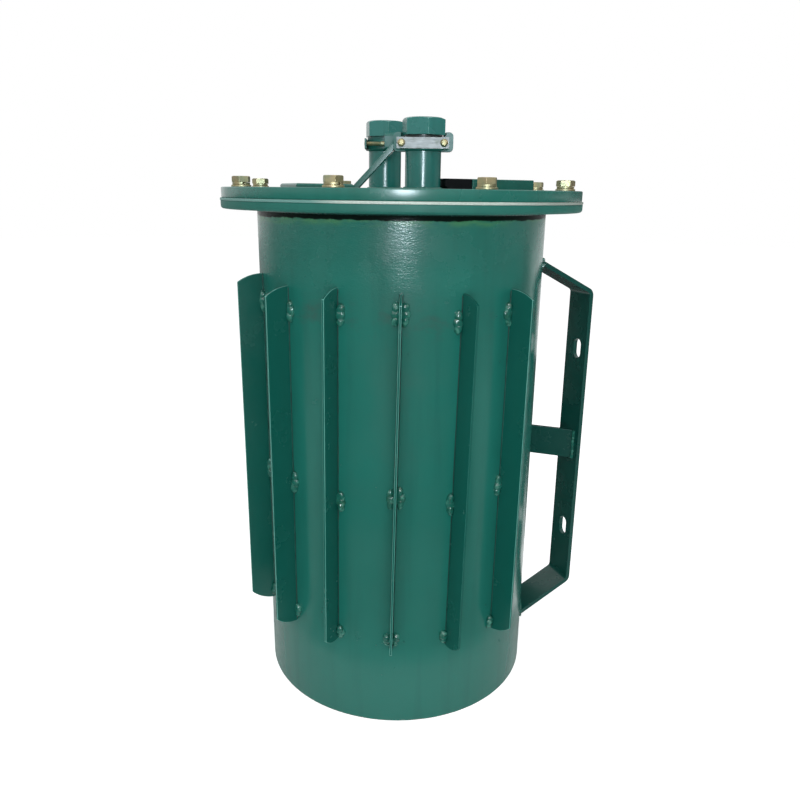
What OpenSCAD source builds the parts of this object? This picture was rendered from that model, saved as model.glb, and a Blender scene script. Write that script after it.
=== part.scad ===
// Explosion-proof dry-type transformer in a finned, round steel tank.
// Origin: the centre of the tank's flat underside. +Z is up and the wall side is +Y.
// The lid's pieces are placed in the lid's own frame, which is turned by lid_turn.

/* [Tank] */
// Outer diameter of the tank's tube
tank_d = 324; // [300:1:340]
// Wall thickness of the tank's tube
tank_wall_t = 8; // [5:0.5:12]
// Height of the lid's top face above the floor
tank_h = 583; // [560:1:640]
// Thickness of the bottom plate
bottom_t = 10; // [6:0.5:16]

/* [Flange joint] */
// How far the flange stands out round the tank's tube
flange_w = 38.5; // [34:0.5:44]
// Thickness of the tank's flange
flange_t = 8.5; // [6:0.5:14]
// Radius of the flange's lower outer edge
flange_round = 3; // [1:0.5:4]
// Thickness of the joint ring between flange and lid
joint_t = 2.6; // [1.6:0.2:4]
// How far the joint ring stands out past the flange
joint_proud = 0.5; // [0:0.1:1.5]
// How far the lid's edge is set in from the flange's
lid_inset = 1; // [0:0.5:4]
// Thickness of the lid
lid_t = 11; // [8:0.5:16]
// Edge break round the lid's top and bottom
lid_edge = 0.8; // [0.4:0.2:2]
// Depth of the lid's spigot inside the tank
spigot_h = 14; // [8:1:25]
// Clearance between the spigot and the tank's bore
spigot_gap = 0.3; // [0.1:0.1:0.6]
// Distance from the flange's edge in to the bolts' circle
bolt_inset = 18; // [15:0.5:20]
// Number of lid bolts
bolt_count = 8; // [6:1:12]
// Diameter of the bolt holes
bolt_hole_d = 11; // [9:0.5:13]
// Turn of the lid against the wall side, in degrees
lid_turn = 3.5; // [-10:0.5:10]

/* [Cooling fins] */
// Angle between neighbouring fins, in degrees
fin_pitch = 22.5; // [18:0.5:23]
// Thickness of a fin
fin_t = 2.5; // [2:0.5:5]
// How far a fin stands out from the tank
fin_out = 27.5; // [15:0.5:34]
// Length of a fin
fin_h = 391; // [250:1:400]
// Height of a fin's lower end above the floor
fin_z = 97; // [60:1:120]
// Radius of the arc that a fin's upper end is cut to
fin_top_arc = 48; // [36:1:90]
// Radius of the arc that a fin's lower end is cut to
fin_foot_arc = 38; // [36:1:90]

/* [Wall straps] */
// Width of a strap's flat bar
strap_w = 40; // [30:1:50]
// Thickness of a strap's flat bar
strap_t = 5; // [4:0.5:8]
// Distance of each strap's middle from the tank's middle plane
strap_x = 65; // [55:1:85]
// Gap between the flange's edge and the wall
wall_gap = 10; // [6:0.5:24]
// How far the straps' middle lies below the middle of the tank's height
strap_drop = 10; // [0:0.5:20]
// Length of a strap's upright back between its bends
strap_back = 374; // [340:1:390]
// Slope of a strap's arms, in degrees
strap_slope = 27; // [15:1:35]
// Inner radius of a strap's bends
strap_bend_r = 5; // [3:0.5:10]
// Width of the fixing slots
slot_w = 14; // [9:0.5:16]
// End-to-end length of the fixing slots
slot_l = 24; // [18:0.5:32]
// Distance between a strap's two slots
slot_spacing = 236; // [180:1:260]
// How far the slots sit outside the strap's middle line
slot_shift = 3; // [0:0.5:6]
// Place where the strut plate meets a strap, from the tank's middle plane
strut_x = 73; // [60:1:80]
// Turn of the strut plate away from the wall's normal, in degrees
strut_turn = 41; // [0:1:45]
// Height of the strut plate behind each strap
strut_h = 36.5; // [20:0.5:50]
// Thickness of the strut plate
strut_t = 5; // [4:0.5:8]
// How far the strut's middle lies below the strap's
strut_drop = 3; // [0:0.5:20]

/* [Cable entries] */
// Distance of each cable entry from the lid's middle
entry_x = 50; // [42:0.5:60]
// How far the entries stand off the lid's middle line, towards the wall
entry_y = 1; // [-5:0.5:5]
// Outer diameter of an entry's tube
entry_tube_d = 38; // [34:1:42]
// Wall thickness of an entry's tube
entry_tube_t = 3.5; // [2.5:0.5:5]
// Height of the right entry's tube above the lid
entry_tube_h = 38; // [30:0.5:60]
// How much higher the left entry stands
entry_rise = 4; // [0:0.5:8]
// Outer diameter of the collar on the tube
collar_d = 41; // [39:0.5:44]
// Height of the collar
collar_h = 15.5; // [12:0.5:20]
// Radius of the collar's lower edge
collar_round = 3; // [1:0.5:4]
// Reach of the collar's ears from the entry's axis
ear_reach = 31.5; // [29:0.5:36]
// Thickness of the ears
ear_t = 12; // [8:0.5:14]
// Height of the ears
ear_h = 19.5; // [14:0.5:22]
// Corner radius of the ears
ear_round = 4.5; // [2:0.5:6]
// Width across the flats of the hexagon cap
cap_flats = 41; // [36:0.5:42]
// Height of the hexagon cap
cap_h = 17; // [12:0.5:24]
// Height of the chamfer on the cap's corners
cap_chamfer = 1.8; // [0.5:0.1:3]
// Gap between the collar and the cap
cap_gap = 1; // [0.4:0.1:3]
// Diameter of the cap's threaded neck
neck_d = 33; // [32:0.5:34]
// Diameter of the cable bore through the cap
cable_d = 21; // [12:0.5:24]
// Thickness of the blanking disc between the tube's end and the cap's neck
blank_t = 3; // [2:0.5:5]
// Turn of the right entry's hexagon cap, in degrees
cap_turn = -14; // [-30:1:30]

/* [Cable clamps] */
// Length of the clamp strip
clamp_l = 54; // [50:0.5:60]
// Width of the clamp strip
clamp_w = 11; // [8:0.5:12]
// Thickness of the clamp strip
clamp_t = 2; // [1.5:0.5:5]
// Distance between the clamp's two screws
clamp_screw_gap = 44; // [43:0.5:48]
// Diameter of the clamp's screw holes
clamp_hole_d = 5.4; // [4:0.1:6]
// Turn of the right entry's clamp against the lid, in degrees
clamp_turn_right = -28.5; // [-60:0.5:20]
// Turn of the left entry's clamp against the lid, in degrees
clamp_turn_left = -115; // [-140:0.5:-90]
// Width of the stay that braces the right entry
stay_w = 12; // [8:0.5:12]
// Thickness of the stay
stay_t = 6; // [4:0.5:8]
// Slope of the stay, in degrees
stay_slope = 46; // [40:1:60]

/* [Lid fittings] */
// Length of the raised bar on the lid
bar_l = 80; // [60:1:90]
// Width of the raised bar
bar_w = 24; // [16:1:36]
// Height of the raised bar
bar_h = 11.5; // [8:0.5:16]
// Length of the dark block between the bar and the right entry
block_l = 33; // [20:1:36]
// Distance from the right entry's axis to the dark block
block_start = 23; // [20.5:0.5:30]
// Size of the flat plate across the lid's front, along X
pad_x = 60; // [40:1:80]
// Size of the flat plate along Y
pad_y = 64; // [40:1:70]
// Thickness of the flat plate
pad_t = 4.5; // [2:0.5:8]
// Place of the flat plate's middle in front of the lid's middle
pad_front = 98; // [90:1:110]
// Place of the flat plate's middle to the left of the lid's middle
pad_left = 10; // [0:1:20]
// Chamfer round the flat plate's top
pad_chamfer = 1.5; // [0.5:0.5:1.8]

/* [Hidden] */
$fn = 96;
fin_total = 11;
weld_gap = 0.2;
face_gap = 0.3;
over = 1;
tank_r = tank_d / 2;
flange_d = tank_d + 2 * flange_w;
lid_d = flange_d - 2 * lid_inset;
bolt_pcd = flange_d - 2 * bolt_inset;
bore_r = tank_r - tank_wall_t;
lid_z = tank_h - lid_t;
joint_z = lid_z - joint_t;
flange_z = joint_z - flange_t;
wall_y = flange_d / 2 + wall_gap;
strap_z = tank_h / 2 - strap_drop;
strut_z = strap_z - strut_drop;
strap_in_y = wall_y - strap_t;
bend_angle = 90 - strap_slope;
bend_steps = 8;
bend_z = strap_back / 2 - strap_bend_r * tan(bend_angle / 2);
arm_l = wall_y - bore_r / 2;
fin_front = -90;
// How far each fin leans over as it is welded, in degrees
fin_lean_angles = [0.4, -0.5, 0, 0.6, 0.3, 0, 0.2, 0.6, 0.9, 0.95, 0.75];
// How far each fin's outer edge is swung round its root, in degrees
fin_swing_angles = [0, 2, 0, -2, 0, 0, 0, 0, 0, 4.5, 0];
// How far each fin is set off its place round the tank, in degrees
fin_offset_angles = [0.3, 0, -0.4, 0, 0, 0, 0.2, 0, 0, -0.3, -0.7];
// How far each fin's lower end is set above its usual height
fin_foot_offsets = [1, -1, 1.5, 0, -1.5, 0.5, 2, 2, -3, -2.5, -1];
// How far each fin's upper end is set above its usual height
fin_head_offsets = [0.5, -1, 1, -0.5, -2.5, 5.5, -1, 2.5, -0.5, -2, -1];
cap_r = cap_flats / 2 / cos(30);
entry_bore_r = entry_tube_d / 2 - entry_tube_t;
collar_r = collar_d / 2;
neck_l = collar_h - blank_t - 2 * face_gap;
clamp_in = collar_r + face_gap;
SIDES = ["right", "left"];

enamel = [0.10, 0.42, 0.36];
zinc = [0.78, 0.78, 0.76];
seal = [0.80, 0.82, 0.80];
black = [0.05, 0.05, 0.06];

function fin_name(i) = str("fin_", i < 10 ? "0" : "", i);
function fin_angle(i) =
    fin_front + (i - (fin_total + 1) / 2) * fin_pitch + fin_offset_angles[i - 1];
function side_sign(s) = s == "right" ? 1 : -1;
function tube_h(s) = entry_tube_h + (s == "left" ? entry_rise : 0);
function clamp_turn(s) = s == "right" ? clamp_turn_right : clamp_turn_left;
function arc(centre, r, from, to, steps) =
    [for (k = [0 : steps]) centre + r * [cos(from + (to - from) * k / steps),
                                         sin(from + (to - from) * k / steps)]];
function mirrored_down(points) = [for (k = [len(points) - 1 : -1 : 0])
    [points[k][0], -points[k][1]]];
function backwards(points) = [for (k = [len(points) - 1 : -1 : 0]) points[k]];

// ---------- shared shapes ----------

// A plain ring from z = 0 up
module ring(outer_r, inner_r, h) {
    difference() {
        cylinder(r = outer_r, h = h);
        translate([0, 0, -over]) cylinder(r = inner_r, h = h + 2 * over);
    }
}

// The lid's own frame, with z = 0 on its top face
module on_lid() {
    translate([0, 0, tank_h]) rotate([0, 0, lid_turn]) children();
}

// The lid's bolt holes, from z = 0 down by depth
module bolt_holes(depth) {
    rotate([0, 0, lid_turn])
        for (k = [0 : bolt_count - 1])
            rotate([0, 0, k * 360 / bolt_count])
                translate([bolt_pcd / 2, 0, -depth - over])
                    cylinder(d = bolt_hole_d, h = depth + 2 * over, $fn = 32);
}

// The space of the tank's tube, which the pieces welded to it stop at
module tank_space(gap) {
    translate([0, 0, -tank_h]) cylinder(r = tank_r + gap, h = 3 * tank_h);
}

// ---------- tank ----------

module tank_wall() {
    color(enamel) ring(tank_r, bore_r, joint_z);
}

module tank_bottom() {
    color(enamel) cylinder(r = bore_r - weld_gap, h = bottom_t);
}

// The flange ring sits round the tube's upper end, and its lower outer edge is rounded
module tank_flange() {
    outer = flange_d / 2;
    inner = tank_r + weld_gap;
    color(enamel) difference() {
        translate([0, 0, flange_z]) rotate_extrude()
            union() {
                translate([inner, 0]) square([outer - flange_round - inner, flange_t]);
                translate([inner, flange_round])
                    square([outer - inner, flange_t - flange_round]);
                translate([outer - flange_round, flange_round])
                    circle(r = flange_round, $fn = 32);
            }
        translate([0, 0, joint_z]) bolt_holes(flange_t);
    }
}

module joint_ring() {
    color(seal) difference() {
        translate([0, 0, joint_z]) ring(flange_d / 2 + joint_proud, bore_r, joint_t);
        translate([0, 0, lid_z]) bolt_holes(joint_t);
    }
}

// The lid, with the spigot that makes the flame path and the bores for the entries' tubes
module lid() {
    r = lid_d / 2;
    color(enamel) difference() {
        union() {
            translate([0, 0, lid_z]) rotate_extrude()
                polygon([[0, 0], [r - lid_edge, 0], [r, lid_edge], [r, lid_t - lid_edge],
                         [r - lid_edge, lid_t], [0, lid_t]]);
            translate([0, 0, lid_z - spigot_h])
                cylinder(r = bore_r - spigot_gap, h = spigot_h + over);
        }
        translate([0, 0, tank_h]) bolt_holes(lid_t);
        on_lid() for (s = SIDES)
            translate([side_sign(s) * entry_x, entry_y, -lid_t - spigot_h - over])
                cylinder(d = entry_tube_d + 2 * weld_gap, h = lid_t + spigot_h + 2 * over);
    }
}

// ---------- cooling fins ----------

// A fin's outline across its depth and height, with both ends cut to arcs round its root
module fin_outline(i) {
    low = fin_foot_offsets[i - 1] - fin_h / 2;
    high = fin_head_offsets[i - 1] + fin_h / 2;
    foot = fin_foot_arc;
    head = fin_top_arc;
    polygon(concat(
        [[-tank_wall_t, low]],
        arc([0, low + foot], foot, -90, -acos(fin_out / foot), 12),
        arc([0, high - head], head, acos(fin_out / head), 90, 12),
        [[-tank_wall_t, high]]));
}

// One fin: a strip set on edge, cut to the tank's curve
module fin(i) {
    color(enamel) rotate([0, 0, fin_angle(i)]) difference() {
        translate([tank_r, 0, fin_z + fin_h / 2])
            rotate([90 - fin_lean_angles[i - 1], 0, fin_swing_angles[i - 1]])
                translate([0, 0, -fin_t / 2]) linear_extrude(fin_t) fin_outline(i);
        tank_space(weld_gap);
    }
}

// ---------- wall straps ----------

// One side of the bent bar's outline above the middle, at radius r round the bend
function strap_side(r) =
    let (bend = arc([strap_in_y - strap_bend_r, bend_z], r, 0, bend_angle, bend_steps))
    concat(bend, [bend[bend_steps] + arm_l * [-cos(strap_slope), sin(strap_slope)]]);

// The bar's outline across Y and Z, with both arms longer than needed
module strap_outline() {
    outer = strap_side(strap_bend_r + strap_t);
    inner = strap_side(strap_bend_r);
    polygon(concat(mirrored_down(outer), outer, backwards(inner),
                   backwards(mirrored_down(inner))));
}

// A slot through the strap's back, along Z
module strap_slot() {
    end = (slot_l - slot_w) / 2;
    deep = strap_t + 2 * over;
    for (z = [-end, end])
        translate([0, 0, z]) rotate([90, 0, 0])
            cylinder(d = slot_w, h = deep, center = true, $fn = 48);
    cube([slot_w, deep, 2 * end], center = true);
}

module wall_strap(s) {
    x = side_sign(s) * strap_x;
    color(enamel) difference() {
        translate([x + strap_w / 2, 0, strap_z]) rotate([90, 0, -90])
            mirror([1, 0, 0]) linear_extrude(strap_w) strap_outline();
        tank_space(weld_gap);
        // the arms stop at the tank, so nothing is left past its middle plane
        translate([-tank_d, -2 * tank_d, -tank_h])
            cube([2 * tank_d, 2 * tank_d, 3 * tank_h]);
        for (up = [-1, 1])
            translate([x + side_sign(s) * slot_shift, wall_y - strap_t / 2,
                       strap_z + up * slot_spacing / 2]) strap_slot();
    }
}

// The strut plate from a strap's back to the tank, cut to both of them
module wall_strut(s) {
    long = strap_in_y / 2;
    color(enamel) difference() {
        mirror([s == "left" ? 1 : 0, 0, 0]) translate([strut_x, strap_in_y, strut_z])
            rotate([0, 0, -strut_turn]) translate([0, -long / 2, 0])
                cube([strut_t, long + 4 * strut_t, strut_h], center = true);
        tank_space(weld_gap);
        translate([-tank_d, strap_in_y, 0]) cube([2 * tank_d, tank_d, tank_h]);
    }
}

// ---------- cable entries ----------

// The frame of one entry: z = 0 on the lid, +X towards the clamp's strip
module at_entry(s) {
    on_lid() translate([side_sign(s) * entry_x, entry_y, 0])
        rotate([0, 0, clamp_turn(s)]) children();
}

module entry_tube(s) {
    color(enamel) at_entry(s) translate([0, 0, -lid_t - spigot_h])
        ring(entry_tube_d / 2, entry_bore_r, lid_t + spigot_h + tube_h(s));
}

// One ear's plate across Y and Z, with its two outer corners rounded
module ear_outline() {
    union() {
        square([ear_reach - ear_round, ear_h]);
        translate([0, ear_round]) square([ear_reach, ear_h - 2 * ear_round]);
        for (z = [ear_round, ear_h - ear_round])
            translate([ear_reach - ear_round, z]) circle(r = ear_round, $fn = 32);
    }
}

// The collar on the tube, with an ear to each side for the clamp's screws
module entry_collar(s) {
    ear_z = tube_h(s) + face_gap;
    screw_z = tube_h(s) + collar_h / 2;
    color(enamel) at_entry(s) difference() {
        union() {
            translate([0, 0, tube_h(s)]) rotate_extrude() union() {
                square([collar_r - collar_round, collar_h]);
                translate([0, collar_round]) square([collar_r, collar_h - collar_round]);
                translate([collar_r - collar_round, collar_round])
                    circle(r = collar_round, $fn = 32);
            }
            for (y = [0, 1]) mirror([0, y, 0])
                translate([-ear_t, 0, ear_z]) rotate([90, 0, 90])
                    linear_extrude(ear_t) ear_outline();
        }
        translate([0, 0, -over]) cylinder(r = neck_d / 2 + weld_gap, h = tank_h);
        translate([0, 0, tube_h(s) + collar_h])
            cylinder(r = cap_r + face_gap, h = tank_h);
        for (y = [-1, 1])
            translate([-ear_t - over, y * clamp_screw_gap / 2, screw_z])
                rotate([0, 90, 0]) cylinder(d = clamp_hole_d, h = ear_t + 2 * over, $fn = 32);
    }
}

// The hexagon cap: chamfered corners, a neck inside the collar and a bore for the cable
module entry_cap(s) {
    neck_z = tube_h(s) + collar_h - neck_l;
    hex_z = tube_h(s) + collar_h + cap_gap;
    flat_r = cap_flats / 2;
    color(enamel) at_entry(s) difference() {
        union() {
            translate([0, 0, neck_z]) cylinder(d = neck_d, h = neck_l + cap_gap + over);
            translate([0, 0, hex_z]) rotate([0, 0, cap_turn - clamp_turn(s)])
                intersection() {
                    cylinder(r = cap_r, h = cap_h, $fn = 6);
                    rotate_extrude() polygon([[0, 0], [cap_r, 0],
                        [cap_r, cap_h - cap_chamfer], [flat_r - over, cap_h], [0, cap_h]]);
                }
        }
        translate([0, 0, neck_z - over]) cylinder(d = cable_d, h = neck_l + cap_h + 3 * over);
    }
}

// The disc that lies on the tube's end and blanks the entry while no cable is fitted
module entry_blank(s) {
    color(zinc) at_entry(s) translate([0, 0, tube_h(s) + face_gap])
        cylinder(d = neck_d, h = blank_t);
}

// A clamp's strip: plain zinc on the right, painted with the lid on the left
module clamp_strip(s) {
    screw_z = tube_h(s) + collar_h / 2;
    color(s == "left" ? enamel : zinc) at_entry(s) difference() {
        translate([clamp_in, -clamp_l / 2, screw_z - clamp_w / 2])
            cube([clamp_t, clamp_l, clamp_w]);
        for (y = [-1, 1])
            translate([clamp_in - over, y * clamp_screw_gap / 2, screw_z])
                rotate([0, 90, 0])
                    cylinder(d = clamp_hole_d, h = clamp_t + 2 * over, $fn = 32);
    }
}

// The flat stay from the lid up to the left ear of the right entry
module entry_stay() {
    ear_z = tube_h("right") + face_gap;
    rise = stay_t / cos(stay_slope);
    top = ear_z + ear_h / 2;
    run = (top - rise) / tan(stay_slope);
    foot = run + rise / tan(stay_slope);
    color(enamel) at_entry("right")
        translate([-ear_t / 2 - stay_w / 2, -ear_reach, 0]) rotate([90, 0, 90])
            mirror([1, 0, 0]) linear_extrude(stay_w)
                polygon([[0, top], [0, top - rise], [run, 0], [foot, 0]]);
}

// ---------- lid fittings ----------

module lid_bar() {
    start = block_start + block_l;
    color(enamel) on_lid() translate([entry_x - bar_w / 2, start, 0])
        cube([bar_w, bar_l, bar_h]);
}

// The dark block is set a little in from the bar, with its lower end corner cut away
module lid_block() {
    corner = bar_h / 3;
    color(black) on_lid() translate([entry_x - bar_w / 2 + over, block_start, 0])
        rotate([90, 0, 90]) linear_extrude(bar_w - 2 * over)
            polygon([[corner, 0], [block_l, 0], [block_l, bar_h], [0, bar_h], [0, corner]]);
}

module lid_plate() {
    c = pad_chamfer;
    color(enamel) on_lid() translate([-pad_left - pad_x / 2, -pad_front - pad_y / 2, 0])
        difference() {
            cube([pad_x, pad_y, pad_t]);
            for (x = [0, 1]) translate([x * pad_x, 0, pad_t]) rotate([0, 45, 0])
                cube([c * sqrt(2), 3 * pad_y, c * sqrt(2)], center = true);
            for (y = [0, 1]) translate([0, y * pad_y, pad_t]) rotate([45, 0, 0])
                cube([3 * pad_x, c * sqrt(2), c * sqrt(2)], center = true);
        }
}

tank_wall();
tank_bottom();
tank_flange();
joint_ring();
lid();
for (i = [1 : fin_total])
    fin(i);
for (s = SIDES) {
    wall_strap(s);
    wall_strut(s);
    entry_tube(s);
    entry_collar(s);
    entry_cap(s);
    entry_blank(s);
    clamp_strip(s);
}
entry_stay();
lid_bar();
lid_block();
lid_plate();
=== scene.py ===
"""Dresses the flameproof transformer: enamel, zinc, bolts, weld beads and a plain studio."""
import math
import random

import bmesh
import bpy
from mathutils import Matrix, Vector

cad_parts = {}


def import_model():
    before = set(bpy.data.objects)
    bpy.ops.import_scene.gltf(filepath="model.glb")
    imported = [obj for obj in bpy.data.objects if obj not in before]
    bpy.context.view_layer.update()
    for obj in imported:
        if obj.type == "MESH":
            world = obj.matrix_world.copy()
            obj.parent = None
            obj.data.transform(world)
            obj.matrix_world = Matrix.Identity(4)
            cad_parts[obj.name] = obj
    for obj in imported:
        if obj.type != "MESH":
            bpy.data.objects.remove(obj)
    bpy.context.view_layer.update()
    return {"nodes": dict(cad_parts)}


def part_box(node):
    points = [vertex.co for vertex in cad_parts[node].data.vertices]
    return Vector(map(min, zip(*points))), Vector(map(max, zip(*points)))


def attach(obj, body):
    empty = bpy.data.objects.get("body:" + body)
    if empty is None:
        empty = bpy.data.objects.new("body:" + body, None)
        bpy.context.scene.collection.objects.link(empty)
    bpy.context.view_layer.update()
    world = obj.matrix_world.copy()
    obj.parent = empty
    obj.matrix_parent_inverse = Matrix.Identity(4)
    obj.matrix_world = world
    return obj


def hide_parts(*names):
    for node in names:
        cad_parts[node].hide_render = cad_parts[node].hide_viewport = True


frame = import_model()

MM = 0.001
TAU = 2 * math.pi
NODES = frame["nodes"]
SIDES = ("right", "left")
FINS = sorted(n for n in NODES if n.startswith("fin_"))

# ---------- sizes read from the frame ----------

TANK_LOW, TANK_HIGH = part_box("tank_wall")
FLANGE_LOW, FLANGE_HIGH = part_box("tank_flange")
JOINT_LOW, JOINT_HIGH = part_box("joint_ring")
LID_LOW, LID_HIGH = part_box("lid")
BOTTOM_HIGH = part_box("tank_bottom")[1]

TANK_R = TANK_HIGH.y
FLANGE_R = FLANGE_HIGH.y
JOINT_R = JOINT_HIGH.y
LID_R = LID_HIGH.y
WELD_GAP = 0.2 * MM
BORE_R = BOTTOM_HIGH.y + WELD_GAP
SPIGOT_R = BORE_R - 0.3 * MM
LID_TOP = LID_HIGH.z

# sizes of the solids that the frame doesn't give
LID_TURN = math.radians(3.5)
FIN_T = 2.5 * MM
STRAP_T = 5 * MM
STRAP_SLOPE = math.radians(27)

# the cable entries, and their clamps from the entry's axis
ENTRY_X = 50 * MM
ENTRY_Y = 1 * MM
CLAMP_TURNS = {"right": math.radians(-28.5), "left": math.radians(-115)}
CAP_H = 17 * MM
STRIP_OUT = 22.8 * MM
EAR_BACK = -12 * MM

# sizes of the small fasteners, which the solids only have holes for
BOLT_SPINS = (57, 26, 45, 20, 5, 49, 8, 24)  # how each hexagon stands, in degrees
BOLT_CIRCLE_R = FLANGE_R - 18 * MM
BOLT_FLATS = 17 * MM
BOLT_HEAD_H = 6.0 * MM
BOLT_SHANK_R = 5 * MM
WASHER_R = 10.2 * MM
WASHER_T = 2 * MM
SPRING_R = 9.0 * MM
SPRING_T = 2.6 * MM
SCREW_GAP = 44 * MM
SCREW_HEAD_R = 4 * MM
SCREW_HEAD_H = 2.8 * MM
SCREW_R = 2.3 * MM
THREAD_STEP = 0.4 * MM
THREAD_DEPTH = 0.25 * MM


def entry_frame(side):
    """The frame of one cable entry: z = 0 on the lid, +X towards the clamp's strip."""
    sign = 1 if side == "right" else -1
    return (Matrix.Translation((0, 0, LID_TOP)) @ Matrix.Rotation(LID_TURN, 4, "Z")
            @ Matrix.Translation((sign * ENTRY_X, ENTRY_Y, 0))
            @ Matrix.Rotation(CLAMP_TURNS[side], 4, "Z"))


# ---------- node trees ----------

class Wiring:
    """A node tree, with short calls for the nodes that materials, shapes and the world share."""

    def __init__(self, tree):
        self.tree = tree

    def node(self, kind, links=None, **settings):
        """Adds a node. Each input named in links takes another node's output, or a value."""
        made = self.tree.nodes.new(kind)
        for key, value in settings.items():
            setattr(made, key, value)
        for socket, value in (links or {}).items():
            target = made.inputs[socket]
            if isinstance(value, bpy.types.NodeSocket):
                self.tree.links.new(value, target)
            else:
                target.default_value = value
        return made

    def maths(self, operation, first, second=0.0):
        return self.node("ShaderNodeMath", {0: first, 1: second}, operation=operation).outputs[0]

    def times(self, first, second):
        return self.maths("MULTIPLY", first, second)

    def spread(self, value, low, high, to_low=0.0, to_high=1.0):
        """Maps low to high onto another range, and holds it at that range's ends."""
        return self.node("ShaderNodeMapRange", {
            "Value": value, "From Min": low, "From Max": high, "To Min": to_low,
            "To Max": to_high}).outputs["Result"]


class Recipe(Wiring):
    """A material's node tree, with short calls for what the finishes share."""

    def __init__(self, name, roughness=0.5, metallic=0.0):
        self.material = bpy.data.materials.new(name)
        self.material.use_nodes = True
        super().__init__(self.material.node_tree)
        self.shader = self.tree.nodes["Principled BSDF"]
        self.shader.inputs["Roughness"].default_value = roughness
        self.shader.inputs["Metallic"].default_value = metallic
        self.place = self.node("ShaderNodeTexCoord").outputs["Object"]

    def stretched(self, scale, shift=(0, 0, 0)):
        return self.node("ShaderNodeMapping", {
            "Vector": self.place, "Scale": scale, "Location": shift}).outputs["Vector"]

    def noise(self, scale, detail=3.0, rough=0.5, place=None, distortion=0.0):
        return self.node("ShaderNodeTexNoise", {
            "Vector": place or self.place, "Scale": scale, "Detail": detail,
            "Roughness": rough, "Distortion": distortion}).outputs["Fac"]

    def streaks(self, detail, rough, scale, shift=(0, 0, 0)):
        """Noise with its own scale along each axis."""
        return self.noise(1.0, detail, rough, self.stretched(scale, shift))

    def blend(self, amount, first, second):
        """Mixes two colours, each another node's output or a plain (red, green, blue)."""
        first, second = ((*value, 1.0) if isinstance(value, tuple) else value
                         for value in (first, second))
        return self.node("ShaderNodeMix", {"Factor": amount, 6: first, 7: second},
                         data_type="RGBA").outputs[2]

    def axis(self, name="Z"):
        return self.node("ShaderNodeSeparateXYZ", {"Vector": self.place}).outputs[name]

    def source(self, label):
        """What one of the shader's inputs is linked to so far."""
        return self.shader.inputs[label].links[0].from_socket

    def takes(self, label, value):
        self.tree.links.new(value, self.shader.inputs[label])

    def relief(self, *layers):
        """Bump layers as (height, strength, depth in metres), the finest last."""
        normal = None
        for value, strength, depth in layers:
            links = {"Height": value, "Strength": strength, "Distance": depth}
            if normal is not None:
                links["Normal"] = normal
            normal = self.node("ShaderNodeBump", links).outputs["Normal"]
        self.takes("Normal", normal)


# ---------- materials ----------

ENAMEL = (0.0105, 0.138, 0.108)
ENAMEL_LIGHT = (0.016, 0.165, 0.132)
ENAMEL_DEEP = (0.007, 0.098, 0.076)
DIRT = (0.055, 0.075, 0.065)


def enamel(name, tone=ENAMEL, light=ENAMEL_LIGHT, deep=ENAMEL_DEEP, gloss=0.24, peel=0.16,
           shine=1.5):
    """Glossy sprayed enamel: uneven tone, orange peel and slow waves in the sheet."""
    made = Recipe(name)
    made.shader.inputs["IOR"].default_value = shine
    clouds = made.noise(7.0, 4.0, 0.55)
    runs = made.streaks(3.0, 0.5, (70, 70, 5))
    body = made.blend(made.spread(clouds, 0.35, 0.7, 0.0, 0.55), tone, light)
    body = made.blend(made.spread(runs, 0.5, 0.8, 0.0, 0.35), body, deep)
    made.takes("Base Color", body)
    patches = made.noise(26.0, 5.0, 0.6)
    made.takes("Roughness", made.spread(patches, 0.3, 0.75, gloss - 0.05, gloss + 0.10))
    made.relief((made.noise(11.0, 2.0), 0.20, 0.8 * MM),
                (made.noise(330.0, 3.0, 0.55), peel, 0.25 * MM))
    return made


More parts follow.
